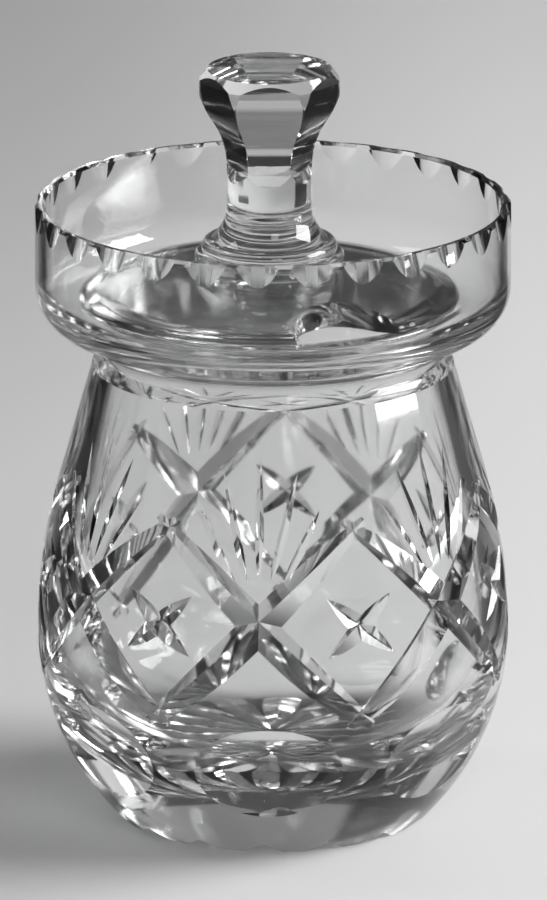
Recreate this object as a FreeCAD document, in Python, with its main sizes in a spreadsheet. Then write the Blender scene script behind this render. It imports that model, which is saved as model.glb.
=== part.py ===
"""A cut-crystal honey pot: a pear-shaped jar with a gallery collar, and a loose lid with a spoon notch and a knob.

Millimetres, +Z up, the origin at the middle of the foot. The front of the pot faces -Y.
"""

import FreeCAD, Part
import math
import os
import Sketcher

doc = FreeCAD.newDocument("honey_pot")

# Driving sizes: word, value and what it is. Lengths in mm, angles in degrees, the rest are counts.
SIZES = [
    # Jar, outside
    ("foot_radius", 26.2, "flat foot that the pot stands on"),
    ("belly_radius", 39.2, "widest part of the belly"),
    ("belly_height", 31.5, "height of the widest part"),
    ("shoulder_radius", 35.6, "where the belly's bend becomes straight"),
    ("shoulder_height", 57.0, "height of that place"),
    ("neck_radius", 30.0, "top of the straight shoulder"),
    ("neck_height", 77.0, "height of that place"),
    ("collar_radius", 39.4, "gallery collar, outside"),
    ("collar_height", 83.0, "underside of the collar"),
    ("collar_bend", 7.5, "rounding from the underside to the collar's wall"),
    ("rim_height", 104.5, "top of the collar"),
    ("rim_bevel", 0.5, "polished bevel on the rim"),
    # Jar, inside
    ("collar_wall", 1.7, "thickness of the collar's wall"),
    ("ledge_height", 86.8, "ledge that the lid lies on"),
    ("mouth_radius", 26.8, "opening of the neck"),
    ("mouth_bend", 1.2, "rounding of the mouth's edge"),
    ("belly_wall", 4.2, "thickness of the wall at the belly"),
    ("shoulder_wall", 4.2, "thickness of the wall at the shoulder"),
    ("floor_height", 11.0, "inside floor over the foot"),
    ("floor_radius", 19.0, "flat part of the inside floor"),
    # Cut pattern
    ("repeats", 7, "diamonds round the belly"),
    ("diamond_top", 57.0, "upper corner of a diamond"),
    ("diamond_bottom", 27.0, "lower corner of a diamond"),
    ("mitre_depth", 1.9, "depth of the long cuts at a crossing"),
    ("mitre_end", 0.4, "depth of the long cuts at their ends"),
    ("mitre_angle", 112, "angle of the mitre wheel"),
    ("cross_reach", 8.6, "half the length of the cuts inside a diamond"),
    ("cross_depth", 1.1, "depth of the cuts inside a diamond"),
    ("blades", 7, "blade cuts in a fan"),
    ("blade_step", 13.5, "angle from one blade to the next"),
    ("blade_start", 6.0, "from the crossing to a blade's lower end"),
    ("blade_reach", 31.0, "from the crossing to the middle blade's tip"),
    ("blade_depth", 0.4, "depth of a blade cut"),
    ("blade_angle", 120, "angle of the blade wheel"),
    ("printy_height", 16.2, "middle of the oval hollow cuts below the diamonds"),
    ("printy_reach", 12.4, "half the width of an oval hollow cut"),
    ("printy_wheel", 38.0, "radius of the wheel that cuts them"),
    ("printy_turn", 2.4, "angle from a crossing to the oval cut below it"),
    ("scallops", 28, "scallops round the rim"),
    ("scallop_drop", 3.8, "height of a scallop on the collar's wall"),
    ("scallop_depth", 0.85, "depth of a scallop at the rim"),
    ("scallop_wheel", 11.0, "radius of the wheel that cuts a scallop"),
    ("star_rays", 16, "rays of the star in the foot"),
    ("star_eye", 1.5, "uncut middle of the star"),
    ("star_depth", 1.6, "depth of a ray at the foot's edge"),
    ("star_angle", 128, "angle of the wheel that cuts the star"),
    ("run_out", 0.3, "how far a cut's ends stand clear of the glass"),
    ("mitre_tail", 3.0, "run of a long cut past a diamond's corner"),
    ("jar_turn", -93.6, "turn of the cut pattern about the pot's axis"),
    # Lid
    ("lid_radius", 31.5, "lid plate"),
    ("seat_gap", 0.2, "air under the lid"),
    ("side_gap", 1.0, "air between a centred lid's edge and the collar's bend"),
    ("lid_aside", -0.6, "the loose lid lies off the pot's axis, along X"),
    ("lid_edge", 2.6, "thickness of the plate's edge"),
    ("edge_bevel", 0.5, "bevel on the plate's edge"),
    ("dome_rise", 4.5, "rise of the plate from its edge to the merese"),
    ("lid_seat", 27.0, "where the flat seat under the lid ends"),
    ("hollow_rise", 3.4, "hollow under the middle of the lid"),
    ("notch_radius", 9.0, "half the width of the spoon notch, and its round end"),
    ("notch_depth", 10.6, "spoon notch, in from the edge"),
    ("lid_turn", -64.2, "turn of the notch about the pot's axis"),
    ("merese_radius", 12.4, "lower ring of the merese"),
    ("merese_step", 11.2, "upper ring of the merese"),
    ("merese_round", 1.0, "rounding of the lower ring"),
    ("merese_lower", 2.3, "thickness of the lower ring"),
    ("merese_upper", 2.1, "thickness of the upper ring"),
    # Knob
    ("stem_radius", 9.6, "foot of the knob"),
    ("waist_radius", 7.0, "waist of the knob"),
    ("waist_low", 5.6, "start of the waist over the knob's foot"),
    ("waist_top", 10.4, "end of the waist over the knob's foot"),
    ("crown_radius", 11.6, "widest part of the knob before its facets"),
    ("crown_start", 22.5, "start of that part over the knob's foot"),
    ("crown_end", 27.0, "start of the top bevel over the knob's foot"),
    ("knob_height", 28.8, "whole knob"),
    ("table_radius", 10.3, "polished top"),
    ("facets", 6, "sides of the knob"),
    ("facet_low", 12.0, "lower end of the facets over the knob's foot"),
    ("facet_tail", 9.4, "where their run-out is clear of the waist, over the knob's foot"),
    ("facet_waist", 6.1, "half the knob between two facets at their lower end"),
    ("facet_middle", 19.9, "where their hollow turns into a swell, over the knob's foot"),
    ("facet_swell", 8.24, "half the knob between two facets at that place"),
    ("facet_crown", 10.65, "half the knob between two facets at the top"),
    ("overrun", 2.0, "how far a cutter passes the glass"),
]

sheet = doc.addObject("Spreadsheet::Sheet", "sizes")
for row, (word, value, meaning) in enumerate(SIZES, start=1):
    sheet.set(f"A{row}", word)
    sheet.set(f"B{row}", str(value))
    sheet.set(f"C{row}", meaning)
    sheet.setAlias(f"B{row}", word)
doc.recompute()


def size(word):
    """The value of a named size."""
    return float(sheet.get(word))


def tied(*words):
    """A sum of named sizes, as its value and as the expression that drives a dimension. A leading minus subtracts."""
    value = sum(-size(word[1:]) if word.startswith("-") else size(word) for word in words)
    text = " ".join(f"- sizes.{word[1:]}" if word.startswith("-") else f"+ sizes.{word}" for word in words)
    return value, text.removeprefix("+ ")


AXIS = (0.0, None)


def plane(body, role):
    """One of a body's own origin planes or axes."""
    return next(part for part in body.Origin.OriginFeatures if part.Role == role)


def new_body(name):
    body = doc.addObject("PartDesign::Body", name)
    body.Label = name
    return body


def new_sketch(body, name, role):
    """An empty sketch on an origin plane of its body."""
    sketch = body.newObject("Sketcher::SketchObject", name)
    sketch.AttachmentSupport = [(plane(body, role), "")]
    sketch.MapMode = "FlatFace"
    return sketch


def bind(sketch, constraint, text):
    """Adds a dimension and drives it from the sheet."""
    index = sketch.addConstraint(constraint)
    sketch.setExpression(f"Constraints[{index}]", text)


def place(sketch, curve, end, corner):
    """Ties one end of a curve to the two named distances of a corner."""
    for kind, axis, (value, text) in (("DistanceX", -2, corner[0]), ("DistanceY", -1, corner[1])):
        if text is None:
            sketch.addConstraint(Sketcher.Constraint("PointOnObject", curve, end, axis))
        else:
            bind(sketch, Sketcher.Constraint(kind, -1, 1, curve, end, value), text)


def bend_centre(first, last, level, upright):
    """The middle of an arc between two points, when one of its coordinates is known."""
    (x1, y1), (x2, y2) = first, last
    chord = x2 * x2 + y2 * y2 - x1 * x1 - y1 * y1
    if upright:
        return level, (chord - 2 * level * (x2 - x1)) / (2 * (y2 - y1))
    return (chord - 2 * level * (y2 - y1)) / (2 * (x2 - x1)), level


def outline(sketch, corners, bends=None):
    """A closed outline. Each corner is two ties; a bend names the side that is an arc and ties its middle.

    A bend is ("height", tie) for a middle at a named height, or ("across", tie) for one at a named distance.
    """
    bends = bends or {}
    count = len(corners)
    spots = [(corner[0][0], corner[1][0]) for corner in corners]
    starts, ends = [], []
    for side in range(count):
        first, last = spots[side], spots[(side + 1) % count]
        if side not in bends:
            sketch.addGeometry(Part.LineSegment(FreeCAD.Vector(*first, 0), FreeCAD.Vector(*last, 0)))
            starts.append(1)
            ends.append(2)
            continue
        way, (level, text) = bends[side]
        middle = bend_centre(first, last, level, way == "across")
        from_middle = [(x - middle[0], y - middle[1]) for x, y in (first, last)]
        turns_left = from_middle[0][0] * from_middle[1][1] > from_middle[0][1] * from_middle[1][0]
        angles = [math.atan2(y, x) for x, y in from_middle]
        if not turns_left:
            angles.reverse()
        circle = Part.Circle(FreeCAD.Vector(*middle, 0), FreeCAD.Vector(0, 0, 1), math.hypot(*from_middle[0]))
        sketch.addGeometry(Part.ArcOfCircle(circle, *angles))
        starts.append(1 if turns_left else 2)
        ends.append(2 if turns_left else 1)
        if text is None:
            sketch.addConstraint(Sketcher.Constraint("PointOnObject", side, 3, -2 if way == "across" else -1))
        else:
            kind = "DistanceX" if way == "across" else "DistanceY"
            bind(sketch, Sketcher.Constraint(kind, -1, 1, side, 3, level), text)
    for side in range(count):
        following = (side + 1) % count
        sketch.addConstraint(Sketcher.Constraint("Coincident", side, ends[side], following, starts[following]))
        place(sketch, side, starts[side], corners[side])
    return sketch


def turned(body, name, corners, bends=None):
    """A solid of revolution about the pot's axis."""
    sketch = outline(new_sketch(body, f"{name}_section", "XZ_Plane"), corners, bends)
    form = body.newObject("PartDesign::Revolution", name)
    form.Profile = sketch
    form.ReferenceAxis = (sketch, ["V_Axis"])
    form.Angle = 360
    sketch.Visibility = False
    return form


def repeated(body, name, feature, count):
    """The same cut, spread evenly round the axis."""
    pattern = body.newObject("PartDesign::PolarPattern", name)
    pattern.Originals = [feature]
    pattern.Axis = (plane(body, "Z_Axis"), [""])
    pattern.Angle = 360
    pattern.setExpression("Occurrences", f"sizes.{count}")
    body.Tip = pattern
    return pattern


def turn_about_axis(thing, word):
    """Turns a finished piece about the pot's axis."""
    thing.Placement = FreeCAD.Placement(FreeCAD.Vector(), FreeCAD.Rotation(FreeCAD.Vector(0, 0, 1), size(word)))
    thing.setExpression("Placement.Rotation.Angle", f"sizes.{word} * 1 deg")


def set_aside(thing, word):
    """Moves a finished piece off the pot's axis, along X."""
    thing.Placement = FreeCAD.Placement(FreeCAD.Vector(size(word), 0, 0), thing.Placement.Rotation)
    thing.setExpression("Placement.Base.x", f"sizes.{word} * 1 mm")


def jar_blank():
    """The jar as it was blown, with the scallops cut round its rim."""
    body = new_body("jar_blank")
    corner_bend = ("collar_radius", "-collar_wall", "-lid_radius", "-side_gap")
    corners = [
        (AXIS, AXIS),
        (tied("foot_radius"), AXIS),
        (tied("belly_radius"), tied("belly_height")),
        (tied("shoulder_radius"), tied("shoulder_height")),
        (tied("neck_radius"), tied("neck_height")),
        (tied("collar_radius", "-collar_bend"), tied("collar_height")),
        (tied("collar_radius"), tied("collar_height", "collar_bend")),
        (tied("collar_radius"), tied("rim_height", "-rim_bevel")),
        (tied("collar_radius", "-rim_bevel"), tied("rim_height")),
        (tied("collar_radius", "-collar_wall", "rim_bevel"), tied("rim_height")),
        (tied("collar_radius", "-collar_wall"), tied("rim_height", "-rim_bevel")),
        (tied("collar_radius", "-collar_wall"), tied("ledge_height", *corner_bend)),
        (tied("lid_radius", "side_gap"), tied("ledge_height")),
        (tied("mouth_radius", "mouth_bend"), tied("ledge_height")),
        (tied("mouth_radius"), tied("ledge_height", "-mouth_bend")),
        (tied("mouth_radius"), tied("neck_height")),
        (tied("shoulder_radius", "-shoulder_wall"), tied("shoulder_height")),
        (tied("belly_radius", "-belly_wall"), tied("belly_height")),
        (tied("floor_radius"), tied("floor_height")),
        (AXIS, tied("floor_height")),
    ]
    bends = {
        1: ("height", tied("belly_height")),
        2: ("height", tied("belly_height")),
        4: ("across", tied("collar_radius", "-collar_bend")),
        5: ("across", tied("collar_radius", "-collar_bend")),
        11: ("across", tied("lid_radius", "side_gap")),
        13: ("across", tied("mouth_radius", "mouth_bend")),
        16: ("height", tied("belly_height")),
        17: ("height", tied("belly_height")),
    }
    turned(body, "blown_form", corners, bends)

    sketch = new_sketch(body, "scallop_section", "XZ_Plane")
    low = (size("collar_radius"), size("rim_height") - size("scallop_drop"))
    high = (low[0] - 2 * size("scallop_depth"), low[1] + 2 * size("scallop_drop"))
    slope = math.atan2(high[1] - low[1], high[0] - low[0])
    out = (size("scallop_wheel") * math.sin(slope), -size("scallop_wheel") * math.cos(slope))
    spots = [low, high, (high[0] + out[0], high[1] + out[1]), (low[0] + out[0], low[1] + out[1])]
    for side in range(4):
        first, last = spots[side], spots[(side + 1) % 4]
        sketch.addGeometry(Part.LineSegment(FreeCAD.Vector(*first, 0), FreeCAD.Vector(*last, 0)))
    for side in range(4):
        sketch.addConstraint(Sketcher.Constraint("Coincident", side, 2, (side + 1) % 4, 1))
    place(sketch, 0, 1, (tied("collar_radius"), tied("rim_height", "-scallop_drop")))
    place(sketch, 0, 2, (tied("collar_radius", "-scallop_depth", "-scallop_depth"), tied("rim_height", "scallop_drop")))
    for side in (1, 3):
        sketch.addConstraint(Sketcher.Constraint("Perpendicular", 0, side))
    sketch.addConstraint(Sketcher.Constraint("Parallel", 0, 2))
    bind(sketch, Sketcher.Constraint("Distance", 1, size("scallop_wheel")), "sizes.scallop_wheel")
    cut = body.newObject("PartDesign::Groove", "scallop")
    cut.Profile = sketch
    cut.ReferenceAxis = (sketch, ["Edge3"])
    cut.Angle = 360
    repeated(body, "scalloped_rim", cut, "scallops")
    return body


# The belly's outside, as the cutter finds it

def belly_bend(across, height):
    """Radius and middle of the belly's bend from its widest part to another place on it."""
    inward = size("belly_radius") - across
    along = size("belly_height") - height
    radius = (inward * inward + along * along) / (2 * inward)
    return radius, size("belly_radius") - radius


def belly_across(height):
    """Outside radius of the jar between foot and neck at a height."""
    if height > size("shoulder_height"):
        share = (height - size("shoulder_height")) / (size("neck_height") - size("shoulder_height"))
        return size("shoulder_radius") + share * (size("neck_radius") - size("shoulder_radius"))
    if height > size("belly_height"):
        radius, middle = belly_bend(size("shoulder_radius"), size("shoulder_height"))
    else:
        radius, middle = belly_bend(size("foot_radius"), 0)
    return middle + math.sqrt(radius**2 - (height - size("belly_height")) ** 2)


def belly_spot(azimuth, height, depth=0):
    """A point on the belly, or at a depth under it. Azimuth in degrees."""
    across = belly_across(height) - depth
    angle = math.radians(azimuth)
    return FreeCAD.Vector(across * math.cos(angle), across * math.sin(angle), height)


def mitre(start, middle, end, wheel_angle, tall, outward):
    """A V-shaped cut whose edge runs on the arc through three points, open to the outside."""
    arc = Part.Arc(start, middle, end).toShape()
    circle = arc.Curve
    side = middle - circle.Center
    side.normalize()
    if side.dot(outward) < 0:
        tall = -tall
    from_centre = start - circle.Center
    from_centre.normalize()
    half = circle.Axis * (abs(tall) * math.tan(math.radians(wheel_angle / 2)))
    top = start + from_centre * tall
    section = Part.Face(Part.makePolygon([start, top + half, top - half, start]))
    return section.revolve(circle.Center, circle.Axis, math.degrees(arc.LastParameter - arc.FirstParameter))


def belly_cut(first, last, depth, end_depth, wheel_angle):
    """A mitre cut between two (azimuth, height) places of the belly, deepest in its middle."""
    start = belly_spot(*first, end_depth)
    end = belly_spot(*last, end_depth)
    halfway = (start + end) / 2
    azimuth = math.degrees(math.atan2(halfway.y, halfway.x))
    middle = belly_spot(azimuth, halfway.z, depth)
    tall = depth + 2 * size("overrun")
    return mitre(start, middle, end, wheel_angle, tall, FreeCAD.Vector(middle.x, middle.y, 0))


def beyond(first, last, share):
    """Two places spread apart about their middle by a share of their distance."""
    grown = [(b - a) * share for a, b in zip(first, last)]
    return tuple(a - g for a, g in zip(first, grown)), tuple(b + g for b, g in zip(last, grown))


def crossing_height():
    return (size("diamond_top") + size("diamond_bottom")) / 2


def step_between():
    """Angle from one crossing of the long cuts to the next."""
    return 360 / size("repeats")


def azimuths():
    """The crossings round the belly, from the one at the front."""
    return [step_between() * turn for turn in range(int(size("repeats")))]


def long_cuts():
    """The two sets of long mitre cuts that make the row of diamonds."""
    cuts = []
    half = step_between() / 2
    for azimuth in azimuths():
        for lean in (-1, 1):
            first = (azimuth + lean * half, size("diamond_top"))
            last = (azimuth - lean * half, size("diamond_bottom"))
            run = math.radians(step_between()) * belly_across(crossing_height())
            length = math.hypot(run, size("diamond_top") - size("diamond_bottom"))
            ends = beyond(first, last, size("mitre_tail") / length)
            cuts.append(belly_cut(*ends, size("mitre_depth"), size("mitre_end"), size("mitre_angle")))
    return cuts


def cross_cuts():
    """Two shorter cuts that cross inside each diamond, along its sides."""
    cuts = []
    half = step_between() / 2
    rise = (size("diamond_top") - size("diamond_bottom")) / 2
    run = math.radians(half) * belly_across(crossing_height())
    share = size("cross_reach") / math.hypot(run, rise)
    for azimuth in azimuths():
        for lean in (-1, 1):
            first = (azimuth + half + lean * half * share, crossing_height() + rise * share)
            last = (azimuth + half - lean * half * share, crossing_height() - rise * share)
            cuts.append(belly_cut(first, last, size("cross_depth"), -size("run_out"), size("mitre_angle")))
    return cuts


def fan_cuts():
    """Blade cuts that fan out above each crossing, between two diamonds."""
    cuts = []
    for azimuth in azimuths():
        for blade in range(int(size("blades"))):
            lean = math.radians(size("blade_step") * (blade - (size("blades") - 1) / 2))
            reach = size("blade_reach") * math.cos(lean) ** 2
            ends = []
            for along in (size("blade_start"), reach):
                height = crossing_height() + along * math.cos(lean)
                ends.append((azimuth + math.degrees(along * math.sin(lean) / belly_across(height)), height))
            cuts.append(belly_cut(*ends, size("blade_depth"), -size("run_out"), size("blade_angle")))
    return cuts


def oval_cuts():
    """Oval hollow cuts low on the belly, one under each crossing, made by the flat rim of a large wheel."""
    bend, middle = belly_bend(size("foot_radius"), 0)
    drop = math.asin((size("belly_height") - size("printy_height")) / bend)
    depth = size("printy_reach") ** 2 * math.cos(drop) / (2 * belly_across(size("printy_height")))
    normal = FreeCAD.Vector(math.cos(drop), 0, -math.sin(drop))
    centre = FreeCAD.Vector(middle, 0, size("belly_height")) + normal * (bend + size("printy_wheel") - depth)
    half = size("printy_reach") + size("overrun")
    cuts = []
    for azimuth in azimuths():
        wheel = Part.makeCylinder(
            size("printy_wheel"), 2 * half, centre - FreeCAD.Vector(0, half, 0), FreeCAD.Vector(0, 1, 0)
        )
        wheel.rotate(FreeCAD.Vector(), FreeCAD.Vector(0, 0, 1), azimuth + size("printy_turn"))
        cuts.append(wheel)
    return cuts


def star_cuts():
    """The star in the foot: mitre cuts that start near the middle and run out through the foot's edge."""
    cuts = []
    for ray in range(int(size("star_rays"))):
        inner = FreeCAD.Vector(size("star_eye"), 0, 0)
        edge = FreeCAD.Vector(size("foot_radius"), 0, size("star_depth"))
        outer = inner + (edge - inner) * 2
        outer.z = 0
        cut = mitre(inner, edge, outer, size("star_angle"), 2 * size("overrun"), FreeCAD.Vector(0, 0, -1))
        cut.rotate(FreeCAD.Vector(), FreeCAD.Vector(0, 0, 1), 360 / size("star_rays") * ray)
        cuts.append(cut)
    return cuts


def lid_plate():
    """The domed plate of the lid, with the notch for the spoon."""
    body = new_body("lid_plate")
    under = ("ledge_height", "seat_gap")
    corners = [
        (AXIS, tied(*under, "hollow_rise")),
        (tied("lid_seat"), tied(*under)),
        (tied("lid_radius", "-edge_bevel"), tied(*under)),
        (tied("lid_radius"), tied(*under, "edge_bevel")),
        (tied("lid_radius"), tied(*under, "lid_edge", "-edge_bevel")),
        (tied("lid_radius", "-edge_bevel"), tied(*under, "lid_edge")),
        (tied("merese_radius"), tied(*under, "lid_edge", "dome_rise")),
        (AXIS, tied(*under, "lid_edge", "dome_rise")),
    ]
    turned(body, "plate_form", corners, {0: ("across", AXIS), 5: ("across", AXIS)})

    outer = tied("lid_radius", "overrun")
    middle = tied("lid_radius", "-notch_depth", "notch_radius")
    corners = [
        (outer, tied("-notch_radius")),
        (outer, tied("notch_radius")),
        (middle, tied("notch_radius")),
        (tied("lid_radius", "-notch_depth"), AXIS),
        (middle, tied("-notch_radius")),
    ]
    notch = body.newObject("PartDesign::Pocket", "spoon_notch")
    notch.Profile = outline(
        new_sketch(body, "notch_outline", "XY_Plane"), corners, {2: ("across", middle), 3: ("across", middle)}
    )
    notch.Type = "ThroughAll"
    notch.SideType = "Symmetric"
    turn_about_axis(body, "lid_turn")
    return body


LID_TOP = ("ledge_height", "seat_gap", "lid_edge", "dome_rise")
MERESE_TOP = (*LID_TOP, "merese_lower", "merese_upper")


def merese():
    """The stepped ring between plate and knob."""
    body = new_body("merese")
    corners = [
        (AXIS, tied(*LID_TOP)),
        (tied("merese_radius"), tied(*LID_TOP)),
        (tied("merese_radius"), tied(*LID_TOP, "merese_lower", "-merese_round")),
        (tied("merese_radius", "-merese_round"), tied(*LID_TOP, "merese_lower")),
        (tied("merese_step"), tied(*LID_TOP, "merese_lower")),
        (tied("stem_radius"), tied(*MERESE_TOP)),
        (AXIS, tied(*MERESE_TOP)),
    ]
    bends = {2: ("across", tied("merese_radius", "-merese_round")), 4: ("across", tied("stem_radius"))}
    turned(body, "merese_form", corners, bends)
    return body


def knob():
    """The waisted handle: round at its foot and waist, six facets above, and a polished top.

    A facet runs out at the waist, is hollow over it and swells towards the top.
    """
    body = new_body("knob")
    corners = [
        (AXIS, tied(*MERESE_TOP)),
        (tied("stem_radius"), tied(*MERESE_TOP)),
        (tied("waist_radius"), tied(*MERESE_TOP, "waist_low")),
        (tied("waist_radius"), tied(*MERESE_TOP, "waist_top")),
        (tied("crown_radius"), tied(*MERESE_TOP, "crown_start")),
        (tied("crown_radius"), tied(*MERESE_TOP, "crown_end")),
        (tied("table_radius"), tied(*MERESE_TOP, "knob_height")),
        (AXIS, tied(*MERESE_TOP, "knob_height")),
    ]
    bends = {
        1: ("height", tied(*MERESE_TOP, "waist_low")),
        3: ("height", tied(*MERESE_TOP, "waist_top")),
    }
    turned(body, "knob_form", corners, bends)

    outer = tied("crown_radius", "overrun")
    corners = [
        (tied("facet_waist"), tied(*MERESE_TOP, "facet_low")),
        (tied("facet_swell"), tied(*MERESE_TOP, "facet_middle")),
        (tied("facet_crown"), tied(*MERESE_TOP, "knob_height")),
        (outer, tied(*MERESE_TOP, "knob_height")),
        (outer, tied(*MERESE_TOP, "facet_tail")),
        (tied("waist_radius", "run_out"), tied(*MERESE_TOP, "facet_tail")),
    ]
    bends = {0: ("height", tied(*MERESE_TOP, "facet_low")), 1: ("height", tied(*MERESE_TOP, "knob_height"))}
    facet = body.newObject("PartDesign::Pocket", "facet")
    facet.Profile = outline(new_sketch(body, "facet_outline", "YZ_Plane"), corners, bends)
    facet.Type = "ThroughAll"
    facet.SideType = "Symmetric"
    repeated(body, "six_facets", facet, "facets")
    return body


def feature(name, shape):
    """A piece or a set of cutters whose shape is worked out here."""
    thing = doc.addObject("Part::Feature", name)
    thing.Label = name
    thing.Shape = shape
    return thing


def carved_jar(blank):
    """The jar with all its cutting."""
    sets = {
        "oval_cuts": oval_cuts(),
        "long_cuts": long_cuts(),
        "cross_cuts": cross_cuts(),
        "fan_cuts": fan_cuts(),
        "star_cuts": star_cuts(),
    }
    shape = blank.Shape
    for name, cuts in sets.items():
        feature(name, Part.makeCompound(cuts))
        before = shape.Volume
        shape = shape.cut(cuts)
        print(name, len(cuts), "cuts take", round(before - shape.Volume), "cubic mm")
    jar = feature("jar", shape.Solids[0] if len(shape.Solids) == 1 else shape)
    turn_about_axis(jar, "jar_turn")
    return jar


def check(things):
    """Stops before anything is written if an object failed or a piece isn't one sound solid."""
    for thing in things:
        if "Invalid" in thing.State or "Error" in thing.State:
            raise RuntimeError(f"{thing.Label} failed: {thing.State}")


blank = jar_blank()
lid_pieces = [lid_plate(), merese(), knob()]
for piece in lid_pieces:
    set_aside(piece, "lid_aside")
doc.recompute()
check(doc.Objects)
pieces = [carved_jar(blank), *lid_pieces]
doc.recompute()
check(doc.Objects)
for piece in pieces:
    if piece.Shape.isNull() or not piece.Shape.isValid() or len(piece.Shape.Solids) != 1:
        raise RuntimeError(f"{piece.Label} isn't one sound solid")

os.makedirs("parts", exist_ok=True)
for piece in pieces:
    piece.Shape.exportStep(f"parts/{piece.Label}.step")
    box = piece.Shape.BoundBox
    span = [f"{value:.2f}" for value in (box.XMin, box.XMax, box.YMin, box.YMax, box.ZMin, box.ZMax)]
    print(piece.Label, round(piece.Shape.Volume), "cubic mm, from and to in x, y and z:", *span)
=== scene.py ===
"""A cut-crystal honey pot: jar and loose lid in clear lead glass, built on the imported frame, and its stage.

Metres, +Z up, the origin at the middle of the foot. The front of the pot faces -Y.
"""

import math

import bmesh
import bpy
from bpy.props import FloatProperty, FloatVectorProperty, IntProperty, PointerProperty
from mathutils import Matrix, Quaternion, Vector


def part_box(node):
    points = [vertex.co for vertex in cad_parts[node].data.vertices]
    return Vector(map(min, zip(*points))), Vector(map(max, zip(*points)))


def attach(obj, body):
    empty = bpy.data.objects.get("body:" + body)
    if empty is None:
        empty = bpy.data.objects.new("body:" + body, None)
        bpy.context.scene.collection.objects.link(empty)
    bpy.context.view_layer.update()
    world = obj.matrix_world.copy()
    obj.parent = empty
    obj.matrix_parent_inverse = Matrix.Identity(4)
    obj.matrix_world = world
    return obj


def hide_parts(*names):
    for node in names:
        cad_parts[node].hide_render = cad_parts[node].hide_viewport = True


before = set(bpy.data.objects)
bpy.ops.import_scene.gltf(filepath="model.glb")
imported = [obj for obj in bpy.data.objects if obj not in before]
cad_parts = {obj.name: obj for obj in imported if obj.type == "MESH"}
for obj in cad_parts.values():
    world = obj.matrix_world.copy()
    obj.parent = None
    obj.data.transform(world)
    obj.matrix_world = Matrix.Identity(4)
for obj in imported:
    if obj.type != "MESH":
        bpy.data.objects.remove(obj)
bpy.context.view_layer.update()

bl_info = {
    "name": "Cut crystal honey pot",
    "version": (1, 0, 0),
    "blender": (4, 5, 0),
    "location": "3D View > Sidebar > Honey pot",
    "description": "Builds a cut crystal honey pot with a loose lid, and the stage it stands on",
    "category": "Object",
}

JAR_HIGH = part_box("jar")[1]
PLATE_LOW, PLATE_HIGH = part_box("lid_plate")
PLATE_RADIUS = (PLATE_HIGH.x - PLATE_LOW.x) / 2
LID_MIDDLE = (PLATE_LOW.x + PLATE_HIGH.x) / 2
MERESE_LOW, MERESE_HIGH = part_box("merese")
MERESE_RADIUS = (MERESE_HIGH.x - MERESE_LOW.x) / 2
KNOB_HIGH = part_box("knob")[1]
MILLIMETRE = 0.001
AROUND = 2 * math.pi


def length(name, about, millimetres):
    """A length that a user may change, in metres."""
    return FloatProperty(
        name=name, description=about, default=millimetres * MILLIMETRE, subtype="DISTANCE", unit="LENGTH"
    )


def angle(name, about, degrees):
    return FloatProperty(name=name, description=about, default=math.radians(degrees), subtype="ANGLE")


def count(name, about, number):
    return IntProperty(name=name, description=about, default=number, min=1)


def share(name, about, part):
    return FloatProperty(name=name, description=about, default=part, min=0, max=1)


def tint(name, about, colour):
    return FloatVectorProperty(
        name=name, description=about, default=colour, size=3, subtype="COLOR", min=0, max=1
    )


class JarSizes(bpy.types.PropertyGroup):
    """The jar: its blown form."""

    foot_radius: length("Foot radius", "Flat foot that the pot stands on", 26.2)
    belly_radius: length("Belly radius", "Widest part of the belly", 39.2)
    belly_height: length("Belly height", "Height of the widest part", 31.5)
    shoulder_radius: length("Shoulder radius", "Where the belly's bend becomes straight", 35.6)
    shoulder_height: length("Shoulder height", "Height of that place", 57)
    neck_radius: length("Neck radius", "Top of the straight shoulder", 30)
    neck_height: length("Neck height", "Height of that place", 77)
    collar_height: length("Collar height", "Underside of the collar", 83)
    collar_bend: length("Collar bend", "Rounding from the underside to the collar's wall", 7.5)
    rim_bevel: length("Rim bevel", "Polished bevel on the rim", 0.5)
    collar_wall: length("Collar wall", "Thickness of the collar's wall", 1.7)
    ledge_height: length("Ledge height", "Ledge that the lid lies on", 86.8)
    ledge_radius: length("Ledge radius", "Where the ledge bends up into the collar", 32.5)
    mouth_radius: length("Mouth radius", "Opening of the neck", 26.8)
    mouth_bend: length("Mouth bend", "Rounding of the mouth's edge", 1.2)
    belly_wall: length("Belly wall", "Thickness of the wall at the belly", 4.2)
    shoulder_wall: length("Shoulder wall", "Thickness of the wall at the shoulder", 4.2)
    floor_height: length("Floor height", "Inside floor over the foot", 11)
    floor_radius: length("Floor radius", "Flat part of the inside floor", 19)


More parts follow.
